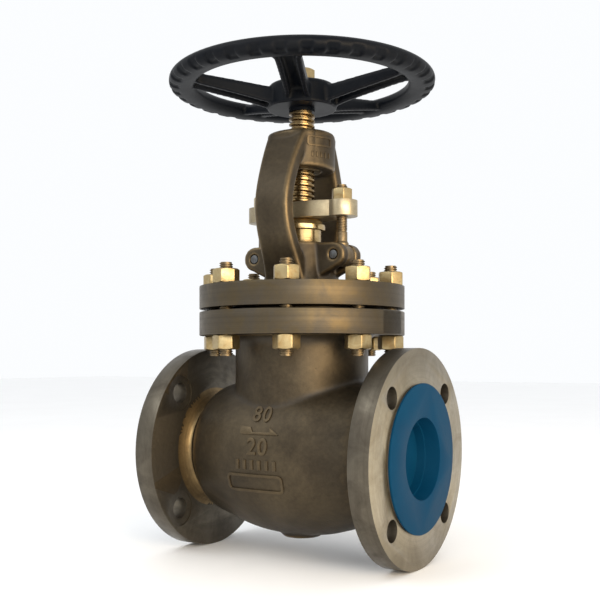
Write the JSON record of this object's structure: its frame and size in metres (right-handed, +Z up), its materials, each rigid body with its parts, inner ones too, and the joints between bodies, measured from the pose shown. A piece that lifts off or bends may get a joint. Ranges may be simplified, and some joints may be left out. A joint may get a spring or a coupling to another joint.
{
  "type": "flanged globe valve",
  "caption": "Flanged bronze globe valve with an outside screw and yoke, rising stem, black spoked handwheel, bolted bonnet, swing-bolt gland and blue push-in flange caps.",
  "frame": {"origin": "on the stem axis, level with the bottom of the two pipe flanges", "axes": "+Z up along the stem towards the handwheel, +X along the pipe in the flow direction, out of the outlet flange"},
  "size_m": [0.2454, 0.2454, 0.4493],
  "materials": {
    "bronze_casting": "as-cast aluminium bronze with a dull brown patina",
    "bronze_machined": "turned, satin",
    "stem_bronze": "turned and thread-cut, bright",
    "brass_fastener": "pale machined brass",
    "stud_bronze": "threaded, slightly dark",
    "gland_brass": "polished",
    "flange_bronze": "milled",
    "pin_metal": "drawn",
    "wheel_paint": "black gloss enamel over cast iron",
    "cap_plastic": "moulded blue polyethylene",
    "gasket": "compressed sheet",
    "packing": "braided graphite"
  },
  "bodies": {
    "valve": {"valve_body": "bronze_casting", "seat_ring": "bronze_machined", "bonnet": "bronze_casting", "backseat_bushing": "bronze_machined", "bonnet_gasket": "gasket", "bonnet_studs": "stud_bronze", "bonnet_nuts_upper": "brass_fastener", "bonnet_nuts_lower": "brass_fastener", "packing_rings": "packing", "yoke_bushing": "bronze_machined", "yoke_bushing_screw": "bronze_machined", "eyebolt_right": "stud_bronze", "eyebolt_left": "stud_bronze", "eyebolt_pin_right": "pin_metal", "eyebolt_pin_left": "pin_metal"},
    "disc": {"disc": "bronze_machined", "disc_nut": "bronze_machined", "disc_lock_pin": "bronze_machined"},
    "stem": {"stem": "stem_bronze", "handwheel": "wheel_paint", "handwheel_nut": "brass_fastener"},
    "gland": {"gland": "gland_brass", "gland_flange": "flange_bronze"},
    "gland_nut_right": {"gland_nut_right": "brass_fastener"},
    "gland_nut_left": {"gland_nut_left": "brass_fastener"},
    "inlet_cap": {"inlet_cap": "cap_plastic"},
    "outlet_cap": {"outlet_cap": "cap_plastic"}
  },
  "joints": [
    {"name": "disc_lift", "type": "slide", "parent": "valve", "child": "disc", "axis": [0, 0, 1], "range_m": [0, 0.0225]},
    {"name": "handwheel_turn", "type": "hinge", "parent": "disc", "child": "stem", "pos_m": [0, 0, 0.43], "axis": [0, 0, 1], "range_deg": [0, 1620]},
    {"name": "gland_lift", "type": "slide", "parent": "valve", "child": "gland", "axis": [0, 0, 1], "range_m": [-0.003, 0.003], "deforming": ["packing_rings"]},
    {"name": "gland_nut_right_turn", "type": "hinge", "parent": "gland", "child": "gland_nut_right", "pos_m": [0.0425, 0, 0.33], "axis": [0, 0, 1], "range_deg": [-720, 720]},
    {"name": "gland_nut_left_turn", "type": "hinge", "parent": "gland", "child": "gland_nut_left", "pos_m": [-0.0425, 0, 0.33], "axis": [0, 0, 1], "range_deg": [-720, 720]},
    {"name": "inlet_cap_pull", "type": "slide", "parent": "valve", "child": "inlet_cap", "axis": [-1, 0, 0], "range_m": [0, 0.06]},
    {"name": "outlet_cap_pull", "type": "slide", "parent": "valve", "child": "outlet_cap", "axis": [1, 0, 0], "range_m": [0, 0.06]}
  ],
  "couplings": [
    {"joint": "disc_lift", "follows": "handwheel_turn", "m_per_rad": 0.00079577},
    {"joint": "gland_nut_right_turn", "follows": "gland_lift", "rad_per_m": 4188.8},
    {"joint": "gland_nut_left_turn", "follows": "gland_lift", "rad_per_m": 4188.8}
  ]
}
